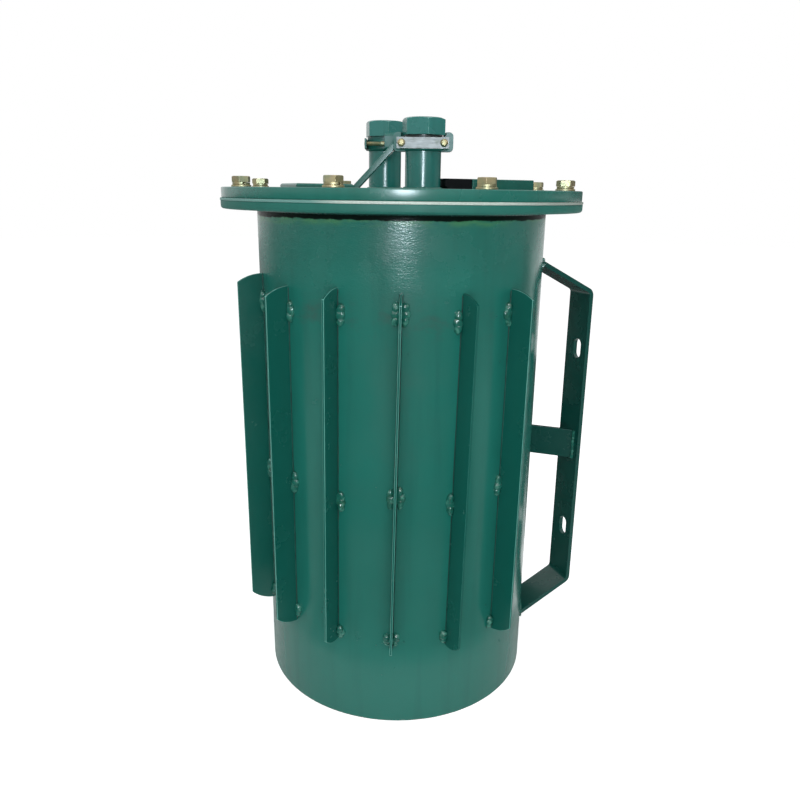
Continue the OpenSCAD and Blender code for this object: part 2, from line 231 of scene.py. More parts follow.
def enamel_tank():
    """The tank's enamel: a soiled band, a bright fringe and a painted shadow under the flange, and
    scraped feet.
    """
    made = enamel("enamel_tank", tone=(0.0115, 0.157, 0.123), light=(0.017, 0.185, 0.148),
                  gloss=0.19, peel=0.10, shine=1.55)
    body = made.source("Base Color")
    z = made.axis()

    # the soiled band, in clouds between two heights
    band = made.times(made.spread(z, 0.435, 0.450), made.spread(z, 0.470, 0.485, 1.0, 0.0))
    cloud = made.spread(made.streaks(5.0, 0.65, (24, 24, 40)), 0.50, 0.70)
    body = made.blend(made.times(band, made.times(cloud, 0.45)), body, DIRT)

    # the fringe, and above it the flange's shadow painted on as a near-black band, along a ragged
    # line below the flange
    ragged = made.streaks(5.0, 0.7, (45, 45, 90))
    drop = made.maths("ADD", z, made.spread(ragged, 0.3, 0.7, -1.3 * MM, 1.3 * MM))
    flange_z = FLANGE_LOW.z
    patches = made.spread(made.streaks(3.0, 0.6, (30, 30, 110), (4, 0, 0)),
                          0.38, 0.58, 0.0, 0.90)
    fringe = made.times(patches, made.spread(drop, flange_z - 14 * MM, flange_z - 9 * MM))
    body = made.blend(fringe, body, (0.050, 0.235, 0.105))
    # painted shadow of the flange: near black, with the specular turned down as well
    edge = made.spread(drop, flange_z - 7.4 * MM, flange_z - 6.4 * MM)
    body = made.blend(edge, body, (0.002, 0.008, 0.006))
    made.takes("Specular IOR Level", made.spread(edge, 0.0, 1.0, 0.5, 0.06))

    # the scraped foot
    scraped = made.times(made.spread(z, 0.6 * MM, 2.2 * MM, 1.0, 0.0),
                         made.spread(made.streaks(4.0, 0.6, (70, 70, 8)), 0.42, 0.55))
    made.takes("Base Color", made.blend(scraped, body, (0.30, 0.34, 0.31)))

    # rougher and duller towards the top
    mottle = made.times(made.spread(z, 0.44, 0.50, 0.15, 1.0),
                        made.streaks(4.0, 0.6, (110, 110, 270)))
    peel = made.times(made.spread(z, 0.44, 0.50, 0.25, 1.0),
                      made.streaks(2.0, 0.5, (420, 420, 850)))
    made.relief((made.noise(9.0, 2.0), 0.25, 1.2 * MM), (mottle, 0.26, 0.6 * MM),
                (peel, 0.55, 0.30 * MM))
    dull = made.spread(z, 0.44, 0.52, 0.0, 0.06)
    made.takes("Roughness", made.maths("ADD", made.source("Roughness"), dull))
    return made.material


# each cap's tones, on its hexagon and on the neck below it; the neck's darker tone is painted
# shade under the cap, near black on the right
CAP_AND_NECK_SHADE_TONES = {"right": ((0.028, 0.208, 0.190), (0.004, 0.012, 0.010)),
             "left": ((0.040, 0.250, 0.232), (0.010, 0.105, 0.092))}


def enamel_cap(side):
    """A cap's enamel, with one tone on the hexagon and a darker one on the neck, painted shade
    under the cap.
    """
    tone, neck = CAP_AND_NECK_SHADE_TONES[side]
    made = enamel("enamel_cap_" + side, tone=tone, peel=0.20)
    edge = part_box("entry_cap_" + side)[1].z - CAP_H
    # painted shade on the neck below the hexagon
    made.takes("Base Color", made.blend(
        made.spread(made.axis(), edge - 0.2 * MM, edge + 0.3 * MM),
        neck, made.source("Base Color")))
    return made.material


def enamel_collar(side):
    """A collar's enamel, turning to the neck's darker tone, painted shade, where its ring lies
    under the cap.
    """
    made = enamel("enamel_collar_" + side, tone=(0.014, 0.150, 0.126), gloss=0.42, peel=0.20,
                  shine=1.45)
    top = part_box("clamp_strip_" + side)[1].z
    middle = entry_frame(side).translation
    cover_r, rim_r = 22.5 * MM, 24 * MM
    squares = []
    for name, centre in (("X", middle.x), ("Y", middle.y)):
        away = made.maths("SUBTRACT", made.axis(name), centre)
        squares.append(made.times(away, away))
    # painted shade on the collar's ring where it lies under the cap
    under = made.times(
        made.spread(made.axis(), top - 1.5 * MM, top - 0.5 * MM),
        made.spread(made.maths("ADD", *squares), cover_r ** 2, rim_r ** 2, 1.0, 0.0))
    made.takes("Base Color", made.blend(under, made.source("Base Color"), CAP_AND_NECK_SHADE_TONES[side][1]))
    return made.material


def enamel_weld():
    """Enamel over hand-laid welds, glossy and olive where the flux shows through, with pale
    patches that are partly paler paint and partly painted highlight.
    """
    made = enamel("enamel_weld", tone=(0.010, 0.125, 0.092), gloss=0.11, peel=0.05,
                  shine=1.8)
    bare = made.spread(made.noise(110.0, 4.0, 0.55), 0.52, 0.70, 0.0, 0.45)
    body = made.blend(bare, made.source("Base Color"), (0.030, 0.085, 0.030))
    # pale patches: paler paint, lightened further as painted highlight on the lumps
    pale = made.noise(160.0, 3.0, 0.5, made.stretched((1, 1, 1), (5, 2, 9)))
    made.takes("Base Color", made.blend(made.spread(pale, 0.53, 0.66, 0.0, 0.7), body,
                                        (0.075, 0.30, 0.23)))
    made.relief((made.noise(300.0, 3.0, 0.6), 0.6, 0.7 * MM))
    return made.material


def root_gap():
    """The gap along a fin's root: dark thin enamel, with rust in places."""
    made = Recipe("root_gap", roughness=0.45)
    rust = made.spread(made.streaks(4.0, 0.6, (120, 120, 30)), 0.60, 0.74)
    made.takes("Base Color", made.blend(rust, (0.004, 0.044, 0.034), (0.050, 0.034, 0.018)))
    made.relief((made.noise(400.0, 3.0, 0.6), 0.4, 0.3 * MM))
    return made.material


def joint_seal():
    """The pale joint ring: smeared with enamel, soiled green at one end, grey at the other."""
    made = Recipe("joint_seal", roughness=0.55)
    smear = made.streaks(5.0, 0.65, (14, 14, 260))
    grain = made.noise(420.0, 3.0, 0.6)
    pale = made.blend(made.spread(grain, 0.3, 0.7), (0.43, 0.53, 0.48), (0.55, 0.64, 0.59))
    turn = math.radians(68.3)  # direction from the green end to the grey end
    across = made.maths("ADD", made.times(made.axis("X"), math.cos(turn)),
                        made.times(made.axis("Y"), math.sin(turn)))
    pale = made.blend(made.spread(across, -0.082, -0.052, 0.95, 0.0), pale, (0.12, 0.30, 0.27))
    pale = made.blend(made.spread(across, 0.090, 0.150, 0.0, 0.95), pale, (0.29, 0.35, 0.31))
    covered = made.spread(smear, 0.62, 0.70)
    made.takes("Base Color", made.blend(covered, pale, (0.040, 0.20, 0.16)))
    made.relief((grain, 0.3, 0.2 * MM))
    return made.material


def zinc_plate():
    """Bright zinc on the clamp strips: fine brushing and dull handling marks."""
    made = Recipe("zinc_plate", metallic=1.0)
    brushed = made.streaks(4.0, 0.6, (90, 90, 1500))
    marks = made.noise(120.0, 5.0, 0.65)
    tone = made.blend(made.spread(brushed, 0.3, 0.7), (0.17, 0.18, 0.18), (0.28, 0.29, 0.285))
    tone = made.blend(made.spread(marks, 0.55, 0.72, 0.0, 0.6), tone, (0.17, 0.20, 0.165))
    made.takes("Base Color", tone)
    made.takes("Roughness", made.spread(marks, 0.3, 0.7, 0.50, 0.62))
    made.relief((brushed, 0.25, 0.06 * MM), (marks, 0.2, 0.10 * MM))
    return made.material


def zinc_yellow(name, dulled):
    """Yellow-passivated zinc on bolts, washers and screws, with green and pink bloom."""
    made = Recipe(name, metallic=1.0)
    bloom = made.noise(85.0, 3.0, 0.5, distortion=0.6)
    warm = made.noise(140.0, 2.0, 0.5, made.stretched((1, 1, 1), (3, 1, 2)))
    tone = made.blend(made.spread(bloom, 0.35, 0.65), (0.44, 0.37, 0.21), (0.28, 0.30, 0.19))
    tone = made.blend(made.spread(warm, 0.55, 0.75, 0.0, 0.6), tone, (0.52, 0.34, 0.27))
    made.takes("Base Color", tone)
    fine = made.noise(600.0, 3.0, 0.6)
    made.takes("Roughness", made.spread(fine, 0.3, 0.7, 0.26 + dulled, 0.42 + dulled))
    made.relief((fine, 0.15, 0.05 * MM))
    return made.material


def black_block():
    """A near-black satin finish with fine scuffs."""
    made = Recipe("black_block")
    made.shader.inputs["IOR"].default_value = 1.25
    scuff = made.streaks(5.0, 0.7, (500, 120, 120))
    made.takes("Base Color", made.blend(made.spread(scuff, 0.55, 0.75), (0.002, 0.003, 0.004),
                                        (0.008, 0.010, 0.012)))
    made.takes("Roughness", made.spread(scuff, 0.4, 0.7, 0.45, 0.62))
    made.relief((scuff, 0.15, 0.08 * MM))
    return made.material


ENAMEL_TANK = enamel_tank()
ENAMEL_BODY = enamel("enamel_body").material
# the fins' enamel is the tank's paint made darker: painted shade on faces turned away from the
# light
ENAMEL_FIN_SHADED = enamel("enamel_fin", tone=(0.0055, 0.105, 0.082), light=(0.009, 0.122, 0.096),
                    gloss=0.22).material
# pale enamel on the bevels of fins and caps: painted highlight along the edges
ENAMEL_EDGE_HIGHLIGHT = enamel("enamel_edge", tone=(0.085, 0.34, 0.29), light=(0.22, 0.50, 0.44),
                     deep=(0.020, 0.17, 0.135), gloss=0.18).material
ENAMEL_TUBE = enamel("enamel_tube", tone=(0.015, 0.182, 0.158), light=(0.020, 0.205, 0.178),
                     deep=(0.011, 0.140, 0.118), gloss=0.22).material
ENAMEL_RIM = enamel("enamel_rim", gloss=0.58, peel=0.22, shine=1.4).material
ENAMEL_CLAMP = enamel("enamel_clamp", tone=(0.009, 0.120, 0.098), gloss=0.42, peel=0.20,
                      shine=1.45).material
# the straps' and struts' enamel is the tank's paint made darker: painted shade, as the tank
# shadows the straps
ENAMEL_STRAP_SHADED = enamel("enamel_strap", tone=(0.0045, 0.069, 0.056), light=(0.007, 0.086, 0.070),
                      deep=(0.003, 0.046, 0.038), gloss=0.24).material
ENAMEL_WELD = enamel_weld()
# a darker enamel for the bead under the flange: painted shade where the flange shadows it
ENAMEL_FLANGE_SHADE = enamel("enamel_dark", tone=(0.006, 0.050, 0.040), light=(0.010, 0.075, 0.060),
                     deep=(0.004, 0.030, 0.024)).material
ROOT_GAP = root_gap()
JOINT_SEAL = joint_seal()
ZINC_PLATE = zinc_plate()
ZINC_YELLOW = zinc_yellow("zinc_yellow", 0.14)
ZINC_SCREW = zinc_yellow("zinc_yellow_screws", 0.17)
BLACK_BLOCK = black_block()


# ---------- mesh helpers ----------

def placed(name, data):
    """A new object with this data, linked to the scene."""
    made = bpy.data.objects.new(name, data)
    bpy.context.scene.collection.objects.link(made)
    return made


def piece_of(name, mesh, material, slot, *stands_for):
    """Links a finished mesh as a piece that rides on the part and takes the given material. The
    slot is not used.
    """
    mesh.name = name
    mesh.materials.clear()
    mesh.materials.append(material)
    piece = placed(name, mesh)
    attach(piece, "root")
    for node in stands_for:
        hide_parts(node)


def settled(holder):
    """The holder's evaluated mesh as a plain mesh. The holder and its modifiers go."""
    bpy.context.view_layer.update()
    graph = bpy.context.evaluated_depsgraph_get()
    mesh = bpy.data.meshes.new_from_object(holder.evaluated_get(graph), depsgraph=graph)
    bpy.data.objects.remove(holder)
    return mesh


def mesh_from(work, name):
    """The bmesh as a named mesh. The bmesh goes."""
    mesh = bpy.data.meshes.new(name)
    work.to_mesh(mesh)
    work.free()
    return mesh


def polar(radius, angle, z):
    return Vector((radius * math.cos(angle), radius * math.sin(angle), z))


def skinned(work, rows, closed=True):
    """Makes the faces between each row of vertices and the next."""
    count = len(rows[0])
    for near, far in zip(rows, rows[1:]):
        for i in range(count if closed else count - 1):
            j = (i + 1) % count
            work.faces.new((near[i], near[j], far[j], far[i]))


def smoothed(mesh):
    for face in mesh.polygons:
        face.use_smooth = True


def smooth_by(mesh, degrees):
    smoothed(mesh)
    mesh.set_sharp_from_angle(angle=math.radians(degrees))


def edges_broken(mesh, width, segments=2, degrees=32, edge_index=-1):
    """The mesh with its sharp edges rounded to the given width and its flats kept flat."""
    smoothed(mesh)
    holder = placed("holder", mesh)
    bevel = holder.modifiers.new("edge", "BEVEL")
    bevel.width = width
    bevel.segments = segments
    bevel.limit_method = "ANGLE"
    bevel.angle_limit = math.radians(degrees)
    bevel.use_clamp_overlap = True
    bevel.miter_outer = "MITER_ARC"
    bevel.material = edge_index
    flatten = holder.modifiers.new("flatten", "WEIGHTED_NORMAL")
    flatten.weight = 80
    flatten.keep_sharp = True
    return settled(holder)


def facets_joined(work):
    """Joins up the faces that lie flat against each other."""
    bmesh.ops.dissolve_limit(work, angle_limit=math.radians(0.5), verts=work.verts,
                             edges=work.edges)


def node_copy(node):
    """A merged copy of a solid's mesh, with flat faces joined up."""
    work = bmesh.new()
    work.from_mesh(NODES[node].data)
    bmesh.ops.remove_doubles(work, verts=work.verts, dist=0.02 * MM)
    facets_joined(work)
    mesh = mesh_from(work, node)
    for layer in ("custom_normal", "sharp_edge", "sharp_face"):
        if layer in mesh.attributes:
            mesh.attributes.remove(mesh.attributes[layer])
    return mesh


def softened(node, width, material, slot, edge_material=None):
    """A solid with its edges broken, which stands for it. The edges may have their own finish."""
    mesh = node_copy(node)
    if edge_material is None:
        piece_of(node + "_soft", edges_broken(mesh, width), material, slot, node)
        return
    mesh.materials.append(material)
    mesh.materials.append(edge_material)
    mesh = edges_broken(mesh, width, edge_index=1)
    # piece_of sets every face back to the first finish
    indices = [face.material_index for face in mesh.polygons]
    piece_of(node + "_soft", mesh, material, slot, node)
    mesh.materials.append(edge_material)
    mesh.polygons.foreach_set("material_index", indices)


def rounded(corners, steps=5):
    """Outline points from (r, z, corner radius), with each corner turned into an arc."""
    points = []
    for i, (x, y, radius) in enumerate(corners):
        here = Vector((x, y))
        if radius <= 0:
            points.append(here)
            continue
        to_last = (Vector(corners[i - 1][:2]) - here).normalized()
        to_next = (Vector(corners[(i + 1) % len(corners)][:2]) - here).normalized()
        half = to_last.angle(to_next) / 2
        middle = here + (to_last + to_next).normalized() * (radius / math.sin(half))
        start = here + to_last * (radius / math.tan(half)) - middle
        turn = start.angle_signed(here + to_next * (radius / math.tan(half)) - middle)
        for k in range(steps + 1):
            points.append(middle + Matrix.Rotation(-turn * k / steps, 2) @ start)
    return points


def turned(name, outline, steps=240, degrees=30):
    """A mesh turned round +Z from a closed outline of (r, z) points."""
    carrier = bpy.data.meshes.new(name + "_outline")
    carrier.from_pydata([(p[0], 0, p[1]) for p in outline], [], [])
    mesh = LATHE.grow(carrier, {"Steps": steps, "Merge within": 0.01 * MM,
                                "Material": ENAMEL_BODY})
    work = bmesh.new()
    work.from_mesh(mesh)
    bmesh.ops.dissolve_degenerate(work, edges=work.edges, dist=0.01 * MM)
    bmesh.ops.delete(work, geom=[v for v in work.verts if not v.link_faces], context="VERTS")
    bmesh.ops.recalc_face_normals(work, faces=work.faces)
    work.to_mesh(mesh)
    work.free()
    smooth_by(mesh, degrees)
    return mesh


# ---------- geometry node trees ----------

class Grower(Wiring):
    """A geometry node tree with named inputs, and the call that runs it on a carrier."""

    def __init__(self, name, inputs):
        super().__init__(bpy.data.node_groups.new(name, "GeometryNodeTree"))
        face = self.tree.interface
        face.new_socket("Geometry", in_out="INPUT", socket_type="NodeSocketGeometry")
        face.new_socket("Geometry", in_out="OUTPUT", socket_type="NodeSocketGeometry")
        for label, kind in inputs:
            face.new_socket(label, in_out="INPUT", socket_type="NodeSocket" + kind)
        self.start = self.node("NodeGroupInput")
        self.end = self.node("NodeGroupOutput")

    def given(self, label):
        return self.start.outputs[label]

    def layer(self, label):
        """A vector that the carrier holds for each point."""
        return self.node("GeometryNodeInputNamedAttribute", {"Name": label},
                         data_type="FLOAT_VECTOR").outputs["Attribute"]

    def position(self):
        return self.node("GeometryNodeInputPosition").outputs[0]

    def wander(self, scale):
        """Noise about zero at each point, drawn from the tree's seed."""
        noise = self.node("ShaderNodeTexNoise", {
            "Vector": self.position(), "W": self.given("Seed"), "Scale": scale, "Detail": 2.0},
            noise_dimensions="4D")
        return self.maths("SUBTRACT", noise.outputs[0], 0.5)

    def finish(self, shape, smooth=False):
        """Ends the tree in Realize Instances and Set Material."""
        if smooth:
            shape = self.node("GeometryNodeSetShadeSmooth", {"Geometry": shape}).outputs[0]
        whole = self.node("GeometryNodeRealizeInstances", {"Geometry": shape}).outputs[0]
        coated = self.node("GeometryNodeSetMaterial",
                           {"Geometry": whole, "Material": self.given("Material")})
        self.tree.links.new(coated.outputs[0], self.end.inputs[0])

    def grow(self, carrier, values):
        """Runs the tree on the carrier's mesh and returns the plain mesh."""
        holder = placed("holder", carrier)
        run = holder.modifiers.new("grow", "NODES")
        run.node_group = self.tree
        sockets = {s.name: s.identifier for s in self.tree.interface.items_tree
                   if s.in_out == "INPUT"}
        for label, value in values.items():
            run[sockets[label]] = value
        return settled(holder)


def lathe_tree():
    """An outline turned round +Z: a grid bent round, one column for each outline point."""
    made = Grower("lathe", [("Steps", "Int"), ("Merge within", "Float"), ("Material", "Material")])
    size = made.node("GeometryNodeAttributeDomainSize", {"Geometry": made.given("Geometry")})
    count = size.outputs["Point Count"]
    columns = made.maths("ADD", count, 1.0)
    grid = made.node("GeometryNodeMeshGrid", {
        "Vertices X": made.maths("ADD", made.given("Steps"), 1.0), "Vertices Y": columns})
    index = made.node("GeometryNodeInputIndex").outputs[0]
    row = made.maths("FLOOR", made.maths("DIVIDE", made.maths("ADD", index, 0.5), columns))
    column = made.maths("SUBTRACT", index, made.times(row, columns))
    place = made.node("GeometryNodeSampleIndex", {
        "Geometry": made.given("Geometry"), "Value": made.position(),
        "Index": made.maths("MODULO", column, count)}, data_type="FLOAT_VECTOR")
    angle = made.maths("DIVIDE", made.times(row, TAU), made.given("Steps"))
    swung = made.node("ShaderNodeVectorRotate", {
        "Vector": place.outputs[0], "Angle": angle}, rotation_type="Z_AXIS")
    bent = made.node("GeometryNodeSetPosition", {
        "Geometry": grid.outputs[0], "Position": swung.outputs[0]})
    closed = made.node("GeometryNodeMergeByDistance", {
        "Geometry": bent.outputs[0], "Distance": made.given("Merge within")})
    made.finish(closed.outputs[0])
    return made


def lump_tree():
    """Lumps of weld metal or paint: one ball for each carrier point, stretched and pitted."""
    made = Grower("lumps", [("Facets", "Int"), ("Pitting", "Float"), ("Grain", "Float"),
                            ("Seed", "Float"), ("Material", "Material")])
    ball = made.node("GeometryNodeMeshIcoSphere", {
        "Radius": 1.0, "Subdivisions": made.given("Facets")})
    copies = made.node("GeometryNodeInstanceOnPoints", {
        "Points": made.given("Geometry"), "Instance": ball.outputs["Mesh"],
        "Rotation": made.layer("turn"), "Scale": made.layer("size")})
    whole = made.node("GeometryNodeRealizeInstances", {"Geometry": copies.outputs[0]})
    reach = made.times(made.wander(made.given("Grain")), made.given("Pitting"))
    offset = made.node("ShaderNodeVectorMath", {
        0: made.node("GeometryNodeInputNormal").outputs[0], "Scale": reach}, operation="SCALE")
    moved = made.node("GeometryNodeSetPosition", {
        "Geometry": whole.outputs[0], "Offset": offset.outputs[0]})
    made.finish(moved.outputs[0], smooth=True)
    return made


def bead_tree():
    """A weld bead along a path of edges: a round section that swells with each ripple."""
    made = Grower("weld_bead", [("Width", "Float"), ("Ripple", "Float"), ("Unevenness", "Float"),
                                ("Seed", "Float"), ("Material", "Material")])
    path = made.node("GeometryNodeMeshToCurve", {"Mesh": made.given("Geometry")})
    step = made.maths("DIVIDE", made.given("Ripple"), 6.0)
    even = made.node("GeometryNodeResampleCurve", {"Curve": path.outputs[0], "Length": step},
                     mode="LENGTH")
    along = made.node("GeometryNodeSplineParameter").outputs["Length"]
    phase = made.times(made.maths("DIVIDE", along, made.given("Ripple")), TAU)
    wave = made.times(made.maths("SINE", phase), 0.10)
    uneven = made.times(made.wander(120.0), made.given("Unevenness"))
    swell = made.maths("ADD", made.maths("ADD", wave, uneven), 1.0)
    width = made.times(swell, made.given("Width"))
    section = made.node("GeometryNodeCurvePrimitiveCircle", {"Resolution": 10, "Radius": 0.5})
    sized = made.node("GeometryNodeSetCurveRadius", {"Curve": even.outputs[0], "Radius": width})
    bead = made.node("GeometryNodeCurveToMesh", {
        "Curve": sized.outputs[0], "Profile Curve": section.outputs[0], "Fill Caps": True,
        "Scale": width})
    made.finish(bead.outputs[0], smooth=True)
    return made


def copy_tree():
    """One copy of a shape at each carrier point, turned by the point's own angles."""
    made = Grower("copies", [("Shape", "Object"), ("Material", "Material")])
    shape = made.node("GeometryNodeObjectInfo", {
        "Object": made.given("Shape"), "As Instance": True})
    copies = made.node("GeometryNodeInstanceOnPoints", {
        "Points": made.given("Geometry"), "Instance": shape.outputs["Geometry"],
        "Rotation": made.layer("turn")})
    made.finish(copies.outputs[0])
    return made


LATHE = lathe_tree()
LUMPS = lump_tree()
BEAD = bead_tree()
COPIES = copy_tree()


def carrier_of(name, places, **layers):
    """A mesh of loose points with one vector layer for each named list."""
    carrier = bpy.data.meshes.new(name + "_points")
    carrier.from_pydata(places, [], [])
    for key, values in layers.items():
        layer = carrier.attributes.new(key, "FLOAT_VECTOR", "POINT")
        for item, value in zip(layer.data, values):
            item.vector = value
    return carrier


def lumps(name, points, material, facets, pitting, grain, seed):
    """A piece with one lump at each (place, turn, size)."""
    places, turns, sizes = zip(*points)
    mesh = LUMPS.grow(carrier_of(name, places, turn=turns, size=sizes), {
        "Facets": facets, "Pitting": pitting, "Grain": grain, "Seed": seed,
        "Material": material})
    piece_of(name, mesh, material, "enamel")


def beads(name, paths, material, slot, width, ripple, unevenness, seed):
    """A piece with a weld bead along each path, a list of points and whether it closes."""
    points, edges = [], []
    for path, closes in paths:
        first = len(points)
        points += path
        edges += [(first + i, first + i + 1) for i in range(len(path) - 1)]
        if closes:
            edges.append((len(points) - 1, first))
    carrier = bpy.data.meshes.new("bead_path")
    carrier.from_pydata(points, edges, [])
    mesh = BEAD.grow(carrier, {"Width": width, "Ripple": ripple, "Unevenness": unevenness,
                               "Seed": seed, "Material": material})
    piece_of(name, mesh, material, slot)


def fasteners(name, parts, spots, material):
    """A piece with a copy of one fastener, joined from its parts, at each (place, turn)."""
    work = bmesh.new()
    for mesh in parts:
        work.from_mesh(mesh)
    shape = placed("holder", mesh_from(work, "fastener"))
    places, turns = zip(*spots)
    mesh = COPIES.grow(carrier_of(name, places, turn=turns),
                       {"Shape": shape, "Material": material})
    bpy.data.objects.remove(shape)
    piece_of(name, mesh, material, "bolt_zinc")


# ---------- tank, flange, joint and lid ----------

def round_piece(name, node, material, slot, corners):
    """A piece turned from (r, z, corner radius), which stands for its solid."""
    piece_of(name, turned(node, rounded(corners)), material, slot, node)


def round_pieces():
    low, high = TANK_LOW.z, TANK_HIGH.z
    round_piece("tank_shell", "tank_wall", ENAMEL_TANK, "enamel", [
        (BORE_R, low, 0), (TANK_R, low, 1.6 * MM), (TANK_R, high, 0), (BORE_R, high, 0)])
    low, high, inner_r = FLANGE_LOW.z, FLANGE_HIGH.z, TANK_R + WELD_GAP
    round_piece("flange_ring", "tank_flange", ENAMEL_RIM, "enamel", [
        (inner_r, low, 0), (FLANGE_R, low, 3 * MM), (FLANGE_R, high, 0.7 * MM),
        (inner_r, high, 0)])
    low, high = JOINT_LOW.z, JOINT_HIGH.z
    round_piece("joint_seal_ring", "joint_ring", JOINT_SEAL, "joint", [
        (BORE_R, low, 0), (JOINT_R, low, 0.6 * MM), (JOINT_R, high, 0.6 * MM),
        (BORE_R, high, 0)])
    round_piece("lid_plate_round", "lid", ENAMEL_BODY, "enamel", [
        (0, LID_LOW.z, 0), (SPIGOT_R, LID_LOW.z, 0.8 * MM), (SPIGOT_R, high, 0),
        (LID_R, high, 1.0 * MM), (LID_R, LID_TOP, 1.3 * MM), (0, LID_TOP, 0)])


# ---------- bolts and screws ----------

def bolt_head(low):
    """A hexagon head that stands on z = low and whose top corners are cut by a cone."""
    def side(angle):
        return BOLT_FLATS / 2 / math.cos((angle + math.pi / 6) % (math.pi / 3) - math.pi / 6)
    high, steps = low + BOLT_HEAD_H, 72
    top_r = BOLT_FLATS / 2 * 0.97
    slope = math.tan(math.radians(30))
    angles = [TAU * k / steps for k in range(steps)]
    rings = [[(side(a), low) for a in angles],
             [(side(a), high - max(0.0, side(a) - top_r) * slope) for a in angles],
             [(top_r, high) for a in angles]]
    work = bmesh.new()
    made = [[work.verts.new(polar(r, a, z)) for a, (r, z) in zip(angles, ring)]
            for ring in rings]
    skinned(work, made)
    work.faces.new(made[-1])
    work.faces.new(reversed(made[0]))
    facets_joined(work)
    return edges_broken(mesh_from(work, "head"), 0.5 * MM, degrees=25)


def spring_washer():
    """A split ring whose ends part by a fraction of its thickness."""
    steps, gap, lift = 44, math.radians(14), 0.35 * MM
    inner = BOLT_SHANK_R + 0.3 * MM
    low, high = WASHER_T, WASHER_T + SPRING_T
    work = bmesh.new()
    rings = []
    for k in range(steps + 1):
        share = k / steps
        angle = gap / 2 + (TAU - gap) * share
        rise = lift * (share - 0.5)
        rings.append([work.verts.new(polar(r, angle, z + rise)) for r, z in (
            (inner, low), (SPRING_R, low), (SPRING_R, high), (inner, high))])
    skinned(work, rings)
    work.faces.new(rings[-1])
    work.faces.new(reversed(rings[0]))
    bmesh.ops.recalc_face_normals(work, faces=work.faces)
    return edges_broken(mesh_from(work, "spring"), 0.25 * MM, 1)


def lid_bolts():
    """The lid's ring of bolts, each with its spring washer, its washer and its shank."""
    head_z = WASHER_T + SPRING_T + 0.1 * MM
    shank_low = FLANGE_LOW.z + 0.6 * MM - LID_TOP
    washer = turned("washer", rounded([
        (BOLT_SHANK_R, 0, 0), (WASHER_R, 0, 0.3 * MM), (WASHER_R, WASHER_T, 0.4 * MM),
        (BOLT_SHANK_R, WASHER_T, 0)], 2), 48)
    shank = turned("shank", rounded([
        (0, shank_low, 0), (BOLT_SHANK_R, shank_low, 0.8 * MM),
        (BOLT_SHANK_R, head_z + MM, 0), (0, head_z + MM, 0)], 2), 32)
    spots = [(polar(BOLT_CIRCLE_R, LID_TURN + TAU * k / len(BOLT_SPINS), LID_TOP),
              (0, 0, math.radians(spin))) for k, spin in enumerate(BOLT_SPINS)]
    parts = [bolt_head(head_z), spring_washer(), washer, shank]
    fasteners("lid_bolts", parts, spots, ZINC_YELLOW)


def pan_head():
    """A cross-recessed pan head on z = 0, pointing up."""
    h, r = SCREW_HEAD_H, SCREW_HEAD_R
    dome = [(0, h), (r * 0.45, h * 0.97), (r * 0.75, h * 0.82), (r * 0.93, h * 0.55),
            (r, h * 0.25), (r, 0), (0, 0)]
    head = turned("head", dome, 40, 50)
    work = bmesh.new()
    for turn in (0.5, 0.5 + math.pi / 2):
        arm = bmesh.ops.create_cube(work, size=1.0)["verts"]
        shape = Matrix.Translation((0, 0, h)) @ Matrix.Rotation(turn, 4, "Z")
        bmesh.ops.transform(work, verts=arm,
                            matrix=shape @ Matrix.Diagonal((r * 1.2, r * 0.34, h * 1.5, 1)))
    tool = placed("holder", mesh_from(work, "cross"))
    holder = placed("holder", head)
    cut = holder.modifiers.new("cross", "BOOLEAN")
    cut.object = tool
    cut.operation = "DIFFERENCE"
    cut.solver = "EXACT"
    cut.use_self = True
    done = settled(holder)
    bpy.data.objects.remove(tool)
    smooth_by(done, 40)
    return done


def rod(low, high):
    """A threaded rod along +Z between two heights."""
    steps = max(2, int((high - low) / THREAD_STEP))
    thread = [(SCREW_R - (0.0 if k % 2 else THREAD_DEPTH), low + (high - low) * k / steps)
              for k in range(steps + 1)]
    return turned("rod", [(0, low), *thread, (0, high)], 24, 40)


def right_screw():
    """A screw with its head on the strip and its end in the ear."""
    head = pan_head()
    head.transform(Matrix.Translation((0, 0, STRIP_OUT)))
    return [head, rod(EAR_BACK + 2 * MM, STRIP_OUT)]


def left_screw():
    """A screw put in from behind the ear, with a plain sleeve and its end in the strip."""
    head = pan_head()
    head.transform(Matrix.Translation((0, 0, EAR_BACK)) @ Matrix.Rotation(math.pi, 4, "X"))
    low, high, radius = 0.1 * MM, 4.6 * MM, 2.9 * MM
    sleeve = turned("sleeve", rounded([
        (0, low, 0), (radius, low, 0.3 * MM), (radius, high, 0.3 * MM), (0, high, 0)], 2), 32)
    return [head, sleeve, rod(EAR_BACK, STRIP_OUT + 0.4 * MM)]


def clamp_screws(side, parts):
    """The two screws of one clamp, through the strip and the collar's ears."""
    strip_low, strip_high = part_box("clamp_strip_" + side)
    height = (strip_low.z + strip_high.z) / 2 - LID_TOP
    frames = [entry_frame(side) @ Matrix.Translation((0, sign * SCREW_GAP / 2, height))
              @ Matrix.Rotation(math.pi / 2, 4, "Y") for sign in (-1, 1)]
    spots = [(m.translation, Vector(m.to_euler("XYZ"))) for m in frames]
    fasteners("clamp_screws_" + side, parts, spots, ZINC_SCREW)


# ---------- pieces with softened edges ----------

